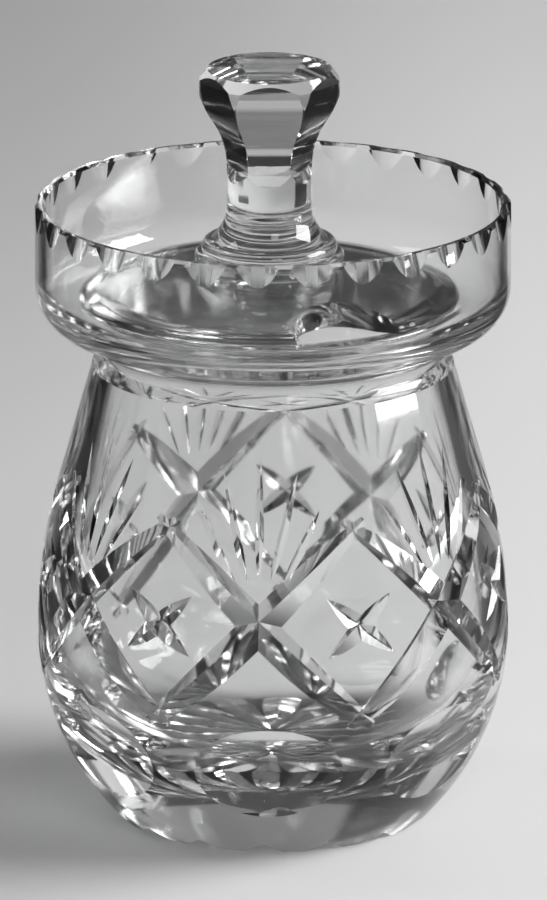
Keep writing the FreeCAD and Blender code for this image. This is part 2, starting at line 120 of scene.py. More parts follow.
class CutSizes(bpy.types.PropertyGroup):
    """The cut pattern of the jar, and how far cutters pass the glass."""

    pattern_turn: angle("Pattern turn", "Turn of the pattern about the pot's axis", -93.6)
    repeats: count("Repeats", "Diamonds round the belly", 7)
    diamond_top: length("Diamond top", "Upper corner of a diamond", 57)
    diamond_bottom: length("Diamond bottom", "Lower corner of a diamond", 27)
    mitre_depth: length("Mitre depth", "Depth of the long cuts at a crossing", 1.9)
    mitre_end: length("Mitre end", "Depth of the long cuts at their ends", 0.4)
    mitre_tail: length("Mitre tail", "Run of a long cut past a diamond's corner", 3)
    mitre_angle: angle("Mitre angle", "Angle of the mitre wheel", 112)
    cross_reach: length("Cross reach", "Half the length of the cuts inside a diamond", 8.6)
    cross_depth: length("Cross depth", "Depth of the cuts inside a diamond", 1.1)
    blades: count("Blades", "Blade cuts in a fan", 7)
    blade_step: angle("Blade step", "Angle from one blade to the next", 13.5)
    blade_start: length("Blade start", "From the crossing to a blade's lower end", 6)
    blade_reach: length("Blade reach", "From the crossing to the middle blade's tip", 31)
    blade_depth: length("Blade depth", "Depth of a blade cut", 0.4)
    blade_angle: angle("Blade angle", "Angle of the blade wheel", 120)
    oval_height: length("Oval height", "Middle of the oval cuts below the diamonds", 16.2)
    oval_reach: length("Oval reach", "Half the width of an oval cut", 12.4)
    oval_wheel: length("Oval wheel", "Radius of the wheel that cuts them", 38)
    oval_turn: angle("Oval turn", "Angle from a crossing to the oval below it", 2.4)
    scallops: count("Scallops", "Scallops round the rim", 28)
    scallop_drop: length("Scallop drop", "Height of a scallop on the collar's wall", 3.8)
    scallop_depth: length("Scallop depth", "Depth of a scallop at the rim", 0.85)
    scallop_wheel: length("Scallop wheel", "Radius of the wheel that cuts a scallop", 11)
    star_rays: count("Star rays", "Rays of the star in the foot", 16)
    star_eye: length("Star eye", "Uncut middle of the star", 1.5)
    star_depth: length("Star depth", "Depth of a ray at the foot's edge", 1.6)
    star_angle: angle("Star angle", "Angle of the wheel that cuts the star", 128)
    run_out: length("Run out", "How far a cut's ends stand clear of the glass", 0.3)
    overrun: length("Overrun", "How far a cutter passes the glass", 2)


class LidSizes(bpy.types.PropertyGroup):
    """The lid: plate, stepped merese and waisted knob, joined hot into one piece of glass."""

    edge: length("Edge", "Thickness of the plate's edge", 2.6)
    edge_bevel: length("Edge bevel", "Bevel on the plate's edge", 0.5)
    seat: length("Seat", "Where the flat seat under the lid ends", 27)
    hollow: length("Hollow", "Rise of the hollow under the lid", 3.4)
    notch_radius: length("Notch radius", "Half the width of the spoon notch, and its round end", 9)
    notch_depth: length("Notch depth", "Spoon notch, in from the edge", 10.6)
    notch_turn: angle("Notch turn", "Turn of the notch about the lid's axis", -64.2)
    merese_step: length("Merese step", "Upper ring of the merese", 11.2)
    merese_round: length("Merese rounding", "Rounding of the lower ring", 1)
    merese_lower: length("Merese lower ring", "Thickness of the lower ring", 2.3)
    merese_upper: length("Merese upper ring", "Thickness of the upper ring", 2.1)
    stem_radius: length("Stem radius", "Foot of the knob", 9.6)
    waist_radius: length("Waist radius", "Waist of the knob", 7)
    waist_low: length("Waist low", "Start of the waist over the knob's foot", 5.6)
    waist_top: length("Waist top", "End of the waist over the knob's foot", 10.4)
    crown_radius: length("Crown radius", "Widest part of the knob before its facets", 11.6)
    crown_start: length("Crown start", "Start of that part over the knob's foot", 22.5)
    crown_end: length("Crown end", "Start of the top bevel over the knob's foot", 27)
    table_radius: length("Table radius", "Polished top", 10.3)
    facets: count("Facets", "Sides of the knob", 6)
    facet_low: length("Facet low", "Lower end of the facets over the knob's foot", 12)
    facet_tail: length("Facet tail", "Where their run-out is clear of the waist, over the knob's foot", 9.4)
    facet_waist: length("Facet waist", "Half the knob between two facets at their lower end", 6.1)
    facet_middle: length("Facet middle", "Where their hollow turns into a swell, over the knob's foot", 19.9)
    facet_swell: length("Facet swell", "Half the knob between two facets at that place", 8.24)
    facet_crown: length("Facet crown", "Half the knob between two facets at the top", 10.65)


class GlassLooks(bpy.types.PropertyGroup):
    """The finish of the crystal."""

    glass: tint("Glass", "Colour of the clear crystal", (0.974, 0.978, 0.978))
    haze: share("Haze", "Roughness that acid polishing leaves on the surface", 0.05)
    grain: length("Grain", "How far apart the faint waves of the surface are", 22)
    wave: length("Wave", "How high those waves are", 0.15)


class StageLooks(bpy.types.PropertyGroup):
    """The sheet that the pot stands on, and the room round it."""

    sheet: tint("Sheet", "Colour of the sheet that the pot stands on", (0.72, 0.72, 0.72))
    # Painted light: the sheet's colour is lighter at the right and darker at the left, as if lit from the
    # right
    painted_light_fall: share("Fall", "How much lighter the sheet is at the right, and darker at the left, far off", 0.17)
    room: share("Room", "How light the room is that the glass shows", 0.2)
    room_right: share("Room, right", "How much lighter the room is at the right", 0.13)


# Meshes


# Length from one point of an outline to the next: as a rule, on flat ends, on the lid's hollow, on a facet
ROW = 1.2 * MILLIMETRE
FLAT_ROW = 3 * ROW
HOLLOW_ROW = 2 * ROW
FACET_ROW = ROW / 2
# Largest turn of an arc from one of its points to the next
BEND_STEP = math.radians(9)
# Steps round the turned forms, round the wheels and round the end of the notch
JAR_SEGMENTS = 224
LID_SEGMENTS = 192
OVAL_SEGMENTS = 240
SCALLOP_SEGMENTS = 180
NOTCH_STEPS = 48
# Steps along a mitre cutter
MITRE_STEP = 1.2 * MILLIMETRE
MITRE_STEPS_LEAST = 6
# Points nearer to each other than this are made one
WELD = 0.000002
# Faces that meet at a larger angle have a crisp arris between them
SMOOTH_ANGLE = math.radians(14)


def straight(first, last, step):
    """Points of an outline on a straight line, without the last one."""
    steps = max(1, math.ceil(math.dist(first, last) / step))
    return [tuple(a + (b - a) * n / steps for a, b in zip(first, last)) for n in range(steps)]


def bend(first, last, centre, step):
    """Points of an outline on an arc, the short way round its centre, without the last one."""
    radius = math.dist(first, centre)
    start, end = (math.atan2(spot[1] - centre[1], spot[0] - centre[0]) for spot in (first, last))
    sweep = (end - start + math.pi) % AROUND - math.pi
    steps = max(1, math.ceil(abs(sweep) * radius / step), math.ceil(abs(sweep) / BEND_STEP))
    turns = [start + sweep * n / steps for n in range(steps)]
    return [(centre[0] + radius * math.cos(turn), centre[1] + radius * math.sin(turn)) for turn in turns]


def square_gap(first, last):
    """Difference between the squares of two points' distances from the origin."""
    return last[0] ** 2 + last[1] ** 2 - first[0] ** 2 - first[1] ** 2


def centre_at_height(first, last, height):
    """Middle of the arc between two points, when its height is known."""
    rest = square_gap(first, last) - 2 * height * (last[1] - first[1])
    return rest / (2 * (last[0] - first[0])), height


def centre_at_radius(first, last, across):
    """Middle of the arc between two points, when its distance from the axis is known."""
    rest = square_gap(first, last) - 2 * across * (last[0] - first[0])
    return across, rest / (2 * (last[1] - first[1]))


def turned(rows, segments):
    """A closed form turned about the upright axis from its outline, which starts and ends on the axis."""
    form = bmesh.new()
    verts = [form.verts.new((across, 0, height)) for across, height in rows]
    edges = [form.edges.new(pair) for pair in zip(verts, verts[1:])]
    bmesh.ops.spin(
        form, geom=verts + edges, cent=(0, 0, 0), axis=(0, 0, 1), dvec=(0, 0, 0),
        angle=AROUND, steps=segments, use_merge=True,
    )
    bmesh.ops.remove_doubles(form, verts=form.verts, dist=WELD)
    bmesh.ops.recalc_face_normals(form, faces=form.faces)
    return form


def linked(name, form):
    """A new object that holds a form, which is used up."""
    mesh = bpy.data.meshes.new(name)
    form.to_mesh(mesh)
    form.free()
    thing = bpy.data.objects.new(name, mesh)
    bpy.context.scene.collection.objects.link(thing)
    return thing


def joined(forms):
    """Several forms in one."""
    whole = forms[0]
    for form in forms[1:]:
        piece = bpy.data.meshes.new("cutter")
        form.to_mesh(piece)
        form.free()
        whole.from_mesh(piece)
        bpy.data.meshes.remove(piece)
    return whole


def rotated(form, turn):
    """A form, turned about the upright axis."""
    bmesh.ops.rotate(form, verts=form.verts, cent=(0, 0, 0), matrix=Matrix.Rotation(turn, 3, "Z"))
    return form


def ring(number, start, shape, *values):
    """Like forms, spaced evenly round the upright axis. The first one is turned by the start angle."""
    return [rotated(shape(*values), start + AROUND / number * turn) for turn in range(number)]


def cut_away(thing, sets):
    """Takes sets of cutters out of a thing, one set after the other. The cutters of a set lie apart."""
    tools = []
    for forms in sets:
        tool = linked("cutter", joined(forms))
        step = thing.modifiers.new("cut", "BOOLEAN")
        step.operation = "DIFFERENCE"
        step.solver = "MANIFOLD"
        step.object = tool
        tools.append(tool)
    carved = bpy.data.meshes.new_from_object(thing.evaluated_get(bpy.context.evaluated_depsgraph_get()))
    blank = thing.data
    carved.name = blank.name
    thing.modifiers.clear()
    thing.data = carved
    bpy.data.meshes.remove(blank)
    for tool in tools:
        mesh = tool.data
        bpy.data.objects.remove(tool)
        bpy.data.meshes.remove(mesh)


def polished(thing):
    """Smooth faces with crisp arrises between them."""
    form = bmesh.new()
    form.from_mesh(thing.data)
    bmesh.ops.remove_doubles(form, verts=form.verts, dist=WELD)
    bmesh.ops.dissolve_degenerate(form, edges=form.edges, dist=WELD)
    form.to_mesh(thing.data)
    form.free()
    thing.data.materials.clear()
    thing.data.shade_smooth()
    thing.data.set_sharp_from_angle(angle=SMOOTH_ANGLE)


def mitre(start, middle, end, wheel_angle, tall, outward):
    """A V-shaped cutter whose edge runs on the arc through three points, open to the outside."""
    first, last = start - middle, end - middle
    normal = first.cross(last)
    to_centre = (last.length_squared * first - first.length_squared * last).cross(normal)
    centre = middle - to_centre / (2 * normal.length_squared)
    axis = (middle - start).cross(end - middle).normalized()
    if (middle - centre).dot(outward) < 0:
        tall = -tall
    spoke, far = start - centre, end - centre
    sweep = math.atan2(axis.dot(spoke.cross(far)), spoke.dot(far)) % AROUND
    top = start + spoke.normalized() * tall
    half = axis * (abs(tall) * math.tan(wheel_angle / 2))
    form = bmesh.new()
    face = form.faces.new([form.verts.new(spot) for spot in (start, top + half, top - half)])
    bmesh.ops.spin(
        form, geom=[*form.verts, *form.edges, face], cent=centre, axis=axis, dvec=(0, 0, 0),
        angle=sweep, steps=max(MITRE_STEPS_LEAST, math.ceil(sweep * spoke.length / MITRE_STEP)),
    )
    bmesh.ops.recalc_face_normals(form, faces=form.faces)
    return form


def block(outline, along):
    """A block: a flat outline drawn out along a vector."""
    form = bmesh.new()
    face = form.faces.new([form.verts.new(spot) for spot in outline])
    raised = bmesh.ops.extrude_face_region(form, geom=[face])["geom"]
    moved = [part for part in raised if isinstance(part, bmesh.types.BMVert)]
    bmesh.ops.translate(form, verts=moved, vec=along)
    bmesh.ops.recalc_face_normals(form, faces=form.faces)
    return form


def wheel(radius, width, segments, place):
    """A drum. The place is a matrix that gives its middle and its axis."""
    form = bmesh.new()
    bmesh.ops.create_cone(
        form, cap_ends=True, segments=segments, radius1=radius, radius2=radius, depth=width, matrix=place
    )
    return form


# The jar


def jar_rows(sizes):
    """The jar's outline, from the middle of its foot round to the middle of its inside floor."""
    collar, rim, bevel = JAR_HIGH.x, JAR_HIGH.z, sizes.rim_bevel
    belly_height = sizes.belly_height
    foot = (sizes.foot_radius, 0)
    belly = (sizes.belly_radius, belly_height)
    shoulder = (sizes.shoulder_radius, sizes.shoulder_height)
    neck = (sizes.neck_radius, sizes.neck_height)
    under = (collar - sizes.collar_bend, sizes.collar_height)
    wall = (collar, sizes.collar_height + sizes.collar_bend)
    inner = collar - sizes.collar_wall
    outer_edge, outer_top = (collar, rim - bevel), (collar - bevel, rim)
    inner_top, inner_edge = (inner + bevel, rim), (inner, rim - bevel)
    ledge = (sizes.ledge_radius, sizes.ledge_height)
    upright = (inner, sizes.ledge_height + inner - sizes.ledge_radius)
    lip = (sizes.mouth_radius + sizes.mouth_bend, sizes.ledge_height)
    mouth = (sizes.mouth_radius, sizes.ledge_height - sizes.mouth_bend)
    throat = (sizes.mouth_radius, sizes.neck_height)
    inner_shoulder = (sizes.shoulder_radius - sizes.shoulder_wall, sizes.shoulder_height)
    inner_belly = (sizes.belly_radius - sizes.belly_wall, belly_height)
    base = (sizes.floor_radius, sizes.floor_height)
    inner_centre = centre_at_height(inner_shoulder, inner_belly, belly_height)
    return [
        *straight((0, 0), foot, FLAT_ROW),
        *bend(foot, belly, centre_at_height(foot, belly, belly_height), ROW),
        *bend(belly, shoulder, centre_at_height(belly, shoulder, belly_height), ROW),
        *straight(shoulder, neck, ROW),
        *bend(neck, under, centre_at_radius(neck, under, under[0]), ROW),
        *bend(under, wall, (under[0], wall[1]), ROW),
        *straight(wall, outer_edge, ROW),
        *straight(outer_edge, outer_top, ROW),
        *straight(outer_top, inner_top, ROW),
        *straight(inner_top, inner_edge, ROW),
        *straight(inner_edge, upright, ROW),
        *bend(upright, ledge, (ledge[0], upright[1]), ROW),
        *straight(ledge, lip, ROW),
        *bend(lip, mouth, (lip[0], mouth[1]), ROW),
        *straight(mouth, throat, ROW),
        *straight(throat, inner_shoulder, ROW),
        *bend(inner_shoulder, inner_belly, inner_centre, ROW),
        *bend(inner_belly, base, centre_at_height(inner_belly, base, belly_height), ROW),
        *straight(base, (0, sizes.floor_height), FLAT_ROW),
        (0, sizes.floor_height),
    ]


def belly_bend(sizes, across, height):
    """The belly's bend from its widest part to another place: its radius, and how far out its middle is."""
    inward = sizes.belly_radius - across
    radius = (inward**2 + (sizes.belly_height - height) ** 2) / (2 * inward)
    return radius, sizes.belly_radius - radius


def belly_across(sizes, height):
    """Outside radius of the jar between foot and neck at a height."""
    if height > sizes.shoulder_height:
        part = (height - sizes.shoulder_height) / (sizes.neck_height - sizes.shoulder_height)
        return sizes.shoulder_radius + part * (sizes.neck_radius - sizes.shoulder_radius)
    if height > sizes.belly_height:
        radius, middle = belly_bend(sizes, sizes.shoulder_radius, sizes.shoulder_height)
    else:
        radius, middle = belly_bend(sizes, sizes.foot_radius, 0)
    return middle + math.sqrt(radius**2 - (height - sizes.belly_height) ** 2)


def belly_cut(sizes, first, last, depth, end_depth, wheel_angle, overrun):
    """A mitre cut between two (azimuth, height) places of the belly, deepest in its middle."""
    spots = []
    for azimuth, height in (first, last):
        across = belly_across(sizes, height) - end_depth
        spots.append(Vector((across * math.cos(azimuth), across * math.sin(azimuth), height)))
    halfway = (spots[0] + spots[1]) / 2
    out = Vector((halfway.x, halfway.y, 0)).normalized()
    middle = out * (belly_across(sizes, halfway.z) - depth) + Vector((0, 0, halfway.z))
    return mitre(spots[0], middle, spots[1], wheel_angle, depth + 2 * overrun, out)


# The two ways in which the cuts of the net lean
LEANS = (-1, 1)


def net(sizes, cuts):
    """The net's diamonds: half their angle, half their height, the height of the crossings, and a side."""
    half = math.pi / cuts.repeats
    crossing = (cuts.diamond_top + cuts.diamond_bottom) / 2
    rise = cuts.diamond_top - crossing
    return half, rise, crossing, math.hypot(half * belly_across(sizes, crossing), rise)


def leaning_cuts(sizes, cuts, lean, start, reach, depth, end_depth):
    """Cuts that lean one way, with their middles at the height of the crossings.

    The first middle is at the start, in halves of a diamond, and half a cut is reach times a diamond's side.
    """
    half, rise, crossing, _ = net(sizes, cuts)
    made = []
    for turn in range(cuts.repeats):
        middle = half * (2 * turn + start)
        top = (middle + lean * half * reach, crossing + rise * reach)
        bottom = (middle - lean * half * reach, crossing - rise * reach)
        made.append(belly_cut(sizes, top, bottom, depth, end_depth, cuts.mitre_angle, cuts.overrun))
    return made


def long_cuts(sizes, cuts, lean):
    """One of the two sets of long mitre cuts that make the row of diamonds."""
    reach = 1 + cuts.mitre_tail / net(sizes, cuts)[-1]
    return leaning_cuts(sizes, cuts, lean, 0, reach, cuts.mitre_depth, cuts.mitre_end)


def cross_cuts(sizes, cuts, lean):
    """One of the two shorter cuts that cross inside each diamond, along its sides."""
    reach = cuts.cross_reach / net(sizes, cuts)[-1]
    return leaning_cuts(sizes, cuts, lean, 1, reach, cuts.cross_depth, -cuts.run_out)


def fan_cuts(sizes, cuts, blade):
    """One blade of each fan above a crossing, between two diamonds."""
    crossing = net(sizes, cuts)[2]
    lean = cuts.blade_step * (blade - (cuts.blades - 1) / 2)
    made = []
    for turn in range(cuts.repeats):
        ends = []
        for along in (cuts.blade_start, cuts.blade_reach * math.cos(lean) ** 2):
            height = crossing + along * math.cos(lean)
            azimuth = AROUND / cuts.repeats * turn + along * math.sin(lean) / belly_across(sizes, height)
            ends.append((azimuth, height))
        made.append(belly_cut(sizes, *ends, cuts.blade_depth, -cuts.run_out, cuts.blade_angle, cuts.overrun))
    return made


def oval_cuts(sizes, cuts):
    """Oval hollow cuts low on the belly, one under each crossing."""
    bend_radius, middle = belly_bend(sizes, sizes.foot_radius, 0)
    drop = math.asin((sizes.belly_height - cuts.oval_height) / bend_radius)
    depth = cuts.oval_reach**2 * math.cos(drop) / (2 * belly_across(sizes, cuts.oval_height))
    out = Vector((math.cos(drop), 0, -math.sin(drop)))
    place = Vector((middle, 0, sizes.belly_height)) + out * (bend_radius + cuts.oval_wheel - depth)
    lying = Matrix.Translation(place) @ Matrix.Rotation(math.pi / 2, 4, "X")
    width = 2 * (cuts.oval_reach + cuts.overrun)
    return ring(cuts.repeats, cuts.oval_turn, wheel, cuts.oval_wheel, width, OVAL_SEGMENTS, lying)


def scallop_cuts(cuts):
    """Shallow hollows round the rim, each made by a wheel that leans against the collar's wall."""
    low = Vector((JAR_HIGH.x, 0, JAR_HIGH.z - cuts.scallop_drop))
    high = Vector((low.x - 2 * cuts.scallop_depth, 0, low.z + 2 * cuts.scallop_drop))
    along = (high - low).normalized()
    out = Vector((0, 1, 0)).cross(along)
    place = (low + high) / 2 + out * cuts.scallop_wheel
    tilt = Vector((0, 0, 1)).rotation_difference(along).to_matrix().to_4x4()
    leaning = Matrix.Translation(place) @ tilt
    return ring(cuts.scallops, 0, wheel, cuts.scallop_wheel, (high - low).length, SCALLOP_SEGMENTS, leaning)


def star_cuts(sizes, cuts):
    """The star in the foot: mitre cuts that start near the middle and run out through the foot's edge."""
    inner = Vector((cuts.star_eye, 0, 0))
    edge = Vector((sizes.foot_radius, 0, cuts.star_depth))
    outer = inner + (edge - inner) * 2
    outer.z = 0
    down = Vector((0, 0, -1))
    return ring(cuts.star_rays, 0, mitre, inner, edge, outer, cuts.star_angle, 2 * cuts.overrun, down)


class HONEYPOT_OT_jar(bpy.types.Operator):
    """Turn the jar and cut its pattern"""

    bl_idname = "honeypot.jar"
    bl_label = "Cut jar"

    def execute(self, context):
        sizes, cuts = context.scene.honeypot_jar, context.scene.honeypot_cuts
        jar = linked("cut_jar", turned(jar_rows(sizes), JAR_SEGMENTS))
        ovals = oval_cuts(sizes, cuts)
        sets = [
            ovals[::2],
            ovals[1::2],
            *(long_cuts(sizes, cuts, lean) for lean in LEANS),
            *(cross_cuts(sizes, cuts, lean) for lean in LEANS),
            *(fan_cuts(sizes, cuts, blade) for blade in range(cuts.blades)),
            *([ray] for ray in star_cuts(sizes, cuts)),
            *([scallop] for scallop in scallop_cuts(cuts)),
        ]
        cut_away(jar, sets)
        jar.data.transform(Matrix.Rotation(cuts.pattern_turn, 4, "Z"))
        polished(jar)
        jar.data.materials.append(crystal("jar crystal", context.scene.honeypot_glass))
        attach(jar, "jar")
        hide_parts("jar")
        return {"FINISHED"}


# The lid


def knob_foot(sizes):
    """Height of the knob's foot, on the merese's upper ring."""
    return MERESE_LOW.z + sizes.merese_lower + sizes.merese_upper


def lid_rows(sizes):
    """The lid's outline, from the hollow under its middle round to the middle of the knob's top."""
    low, bevel = PLATE_LOW.z, sizes.edge_bevel
    edge, foot = low + sizes.edge, knob_foot(sizes)
    step = MERESE_LOW.z + sizes.merese_lower
    hollow, seat = (0, low + sizes.hollow), (sizes.seat, low)
    low_inner, low_outer = (PLATE_RADIUS - bevel, low), (PLATE_RADIUS, low + bevel)
    high_outer, high_inner = (PLATE_RADIUS, edge - bevel), (PLATE_RADIUS - bevel, edge)
    ring_foot = (MERESE_RADIUS, MERESE_LOW.z)
    ring_side = (MERESE_RADIUS, step - sizes.merese_round)
    ring_top = (MERESE_RADIUS - sizes.merese_round, step)
    upper = (sizes.merese_step, step)
    stem = (sizes.stem_radius, foot)
    waist_low, waist_top = ((sizes.waist_radius, foot + up) for up in (sizes.waist_low, sizes.waist_top))
    crown_start, crown_end = ((sizes.crown_radius, foot + up) for up in (sizes.crown_start, sizes.crown_end))
    table, top = (sizes.table_radius, KNOB_HIGH.z), (0, KNOB_HIGH.z)
    return [
        *bend(hollow, seat, centre_at_radius(hollow, seat, 0), HOLLOW_ROW),
        *straight(seat, low_inner, ROW),
        *straight(low_inner, low_outer, ROW),
        *straight(low_outer, high_outer, ROW),
        *straight(high_outer, high_inner, ROW),
        *bend(high_inner, ring_foot, centre_at_radius(high_inner, ring_foot, 0), ROW),
        *straight(ring_foot, ring_side, ROW),
        *bend(ring_side, ring_top, (ring_top[0], ring_side[1]), ROW),
        *straight(ring_top, upper, ROW),
        *bend(upper, stem, centre_at_radius(upper, stem, stem[0]), ROW),
        *bend(stem, waist_low, centre_at_height(stem, waist_low, waist_low[1]), ROW),
        *straight(waist_low, waist_top, ROW),
        *bend(waist_top, crown_start, centre_at_height(waist_top, crown_start, waist_top[1]), ROW),
        *straight(crown_start, crown_end, ROW),
        *straight(crown_end, table, ROW),
        *straight(table, top, FLAT_ROW),
        top,
    ]


def notch_cut(sizes, overrun):
    """The spoon notch: straight sides and a round end, open at the plate's edge."""
    radius, far = sizes.notch_radius, PLATE_RADIUS + overrun
    middle = PLATE_RADIUS - sizes.notch_depth + radius
    turns = [math.pi / 2 + math.pi * n / NOTCH_STEPS for n in range(NOTCH_STEPS + 1)]
    around = [(middle + radius * math.cos(turn), radius * math.sin(turn)) for turn in turns]
    low, high = PLATE_LOW.z - overrun, PLATE_HIGH.z + overrun
    outline = [(x, y, low) for x, y in ((far, -radius), (far, radius), *around)]
    return rotated(block(outline, (0, 0, high - low)), sizes.notch_turn)


def facet_cuts(sizes, overrun, run_out):
    """The sides of the knob: they run out at the waist, are hollow over it and swell towards the top."""
    foot = knob_foot(sizes)
    tail, over = foot + sizes.facet_tail, KNOB_HIGH.z + overrun
    low, high = (sizes.facet_waist, foot + sizes.facet_low), (sizes.facet_crown, KNOB_HIGH.z)
    middle = (sizes.facet_swell, foot + sizes.facet_middle)
    outer = sizes.crown_radius + overrun
    rows = [
        *bend(low, middle, centre_at_height(low, middle, low[1]), FACET_ROW),
        *bend(middle, high, centre_at_height(middle, high, high[1]), FACET_ROW),
        high, (high[0], over), (outer, over), (outer, tail), (sizes.waist_radius + run_out, tail),
    ]
    outline = [(across, -outer, height) for across, height in rows]
    return ring(sizes.facets, -math.pi / 2, block, outline, (0, 2 * outer, 0))


class HONEYPOT_OT_lid(bpy.types.Operator):
    """Turn the lid, and cut its spoon notch and the facets of its knob"""

    bl_idname = "honeypot.lid"
    bl_label = "Cut lid"

    def execute(self, context):
        sizes, cuts = context.scene.honeypot_lid, context.scene.honeypot_cuts
        lid = linked("cut_lid", turned(lid_rows(sizes), LID_SEGMENTS))
        facets = facet_cuts(sizes, cuts.overrun, cuts.run_out)
        cut_away(lid, [[notch_cut(sizes, cuts.overrun)], *([facet] for facet in facets)])
        lid.data.transform(Matrix.Translation((LID_MIDDLE, 0, 0)))
        polished(lid)
        lid.data.materials.append(crystal("lid crystal", context.scene.honeypot_glass))
        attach(lid, "lid")
        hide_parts("lid_plate", "merese", "knob")
        return {"FINISHED"}


# Materials


class Shading:
    """A node tree under construction. Each method but feed adds nodes and gives back an output of theirs."""

    def __init__(self, tree):
        self.tree = tree

    def node(self, kind, **settings):
        """A new node, given back whole."""
        made = self.tree.nodes.new(kind)
        for name, value in settings.items():
            setattr(made, name, value)
        return made

    def feed(self, socket, value):
        """Sets a socket to a number, or links another node's output to it."""
        if isinstance(value, bpy.types.NodeSocket):
            self.tree.links.new(value, socket)
        else:
            socket.default_value = value

    def math(self, operation, *values):
        made = self.node("ShaderNodeMath", operation=operation)
        for socket, value in zip(made.inputs, values):
            self.feed(socket, value)
        return made.outputs[0]

    def ramp(self, value, limits, levels):
        """A soft change from one level to another, where a value passes from one limit to the other."""
        made = self.node("ShaderNodeMapRange", interpolation_type="SMOOTHSTEP")
        names = ("Value", "From Min", "From Max", "To Min", "To Max")
        for name, number in zip(names, (value, *limits, *levels)):
            self.feed(made.inputs[name], number)
        return made.outputs["Result"]

    def scaled(self, colour, level):
        """A colour at a level, where 1 leaves it as it is."""
        made = self.node("ShaderNodeVectorMath", operation="SCALE")
        self.feed(made.inputs[0], colour)
        self.feed(made.inputs["Scale"], level)
        return made.outputs[0]

    def place(self, kind):
        return self.node("ShaderNodeTexCoord").outputs[kind]

    def axes(self, kind):
        """The three parts of a place or direction."""
        made = self.node("ShaderNodeSeparateXYZ")
        self.feed(made.inputs[0], self.place(kind))
        return made.outputs

    def noise(self, scale, detail):
        """Soft noise that stays on the thing."""
        made = self.node("ShaderNodeTexNoise")
        self.feed(made.inputs["Vector"], self.place("Object"))
        self.feed(made.inputs["Scale"], scale)
        self.feed(made.inputs["Detail"], detail)
        return made.outputs[0]

    def spot(self, values, middle, halves, edge):
        """1 inside a soft-edged patch, else 0."""
        sides = []
        for value, centre, half in zip(values, middle, halves):
            away = self.math("ABSOLUTE", self.math("SUBTRACT", value, centre))
            sides.append(self.ramp(away, (half - edge / 2, half + edge / 2), (1, 0)))
        return self.math("MULTIPLY", *sides)

    def ray(self, kind):
        return self.node("ShaderNodeLightPath").outputs[kind]

    def mirrored(self):
        """1 for a ray that was mirrored in or by the glass, else 0."""
        return self.math("GREATER_THAN", self.ray("Glossy Depth"), 0.5)

    def dimmed(self, level, mask, part):
        """A level, less a part of it where the mask is 1."""
        return self.math("MULTIPLY", level, self.math("SUBTRACT", 1, self.math("MULTIPLY", mask, part)))


def new_material(name):
    """A material, its shading and the inputs of its shader."""
    material = bpy.data.materials.new(name)
    material.use_nodes = True
    return material, Shading(material.node_tree), material.node_tree.nodes["Principled BSDF"].inputs


CRYSTAL_IOR = 1.545
WAVE_DETAIL = 1
# Between two values of the noise the haze grows, from less than its middle to more by the same part of it
HAZE_STRETCH = (0.35, 0.65)
HAZE_CHANGE = 0.2


def crystal(name, looks):
    """Clear lead glass, with the faint unevenness that acid polishing leaves on it."""
    material, shading, shader = new_material(name)
    shader["Base Color"].default_value = (*looks.glass, 1)
    shader["IOR"].default_value = CRYSTAL_IOR
    shader["Transmission Weight"].default_value = 1
    waves = shading.noise(1 / looks.grain, WAVE_DETAIL)
    hazes = (looks.haze * (1 - HAZE_CHANGE), looks.haze * (1 + HAZE_CHANGE))
    shading.feed(shader["Roughness"], shading.ramp(waves, HAZE_STRETCH, hazes))
    surface = shading.node("ShaderNodeBump")
    surface.inputs["Strength"].default_value = 1
    surface.inputs["Distance"].default_value = looks.wave
    shading.feed(surface.inputs["Height"], waves)
    shading.feed(shader["Normal"], surface.outputs[0])
    return material


# The stage


# How light the wall is where the camera sees it straight, and what part of the room's light isn't mirrored
BACKDROP = 0.45
UNMIRRORED = 0.75
# Degrees from behind the pot round to the right over which the room gets lighter, and darker again
ROOM_LIGHTER = (12, 36)
ROOM_DARKER = (120, 150)
# Each patch of the room has its middle (from behind the pot round to the right, and up), half size and soft
# edge in degrees. A glow adds its last number to the light, and a flag takes that part of the light away.
GLOWS = [
    ((4, 0), (34, 4.5), 4, 0.25),
    ((92, 0), (30, 4.5), 4, 0.12),
    ((-90, 0), (30, 4.5), 4, 0.25),
    ((176, 0), (34, 4.5), 4, 0.25),
    ((165, 40), (10, 8), 2, 4),
    ((-72, 48), (12, 7), 2, 3),
]
FLAGS = [
    ((-48, 13), (9, 23), 3, 0.99),
    ((48, 13), (9, 23), 3, 0.99),
    ((-62, 33), (8, 8), 3, 0.95),
    ((62, 33), (8, 8), 3, 0.95),
    ((-132, 15), (9, 15), 3, 0.95),
    ((132, 15), (9, 15), 3, 0.95),
    ((-30, 26), (12, 15), 5, 0.95),
    ((-75, 24), (12, 8), 6, 0.75),
]


def in_radians(degrees):
    return [math.radians(value) for value in degrees]


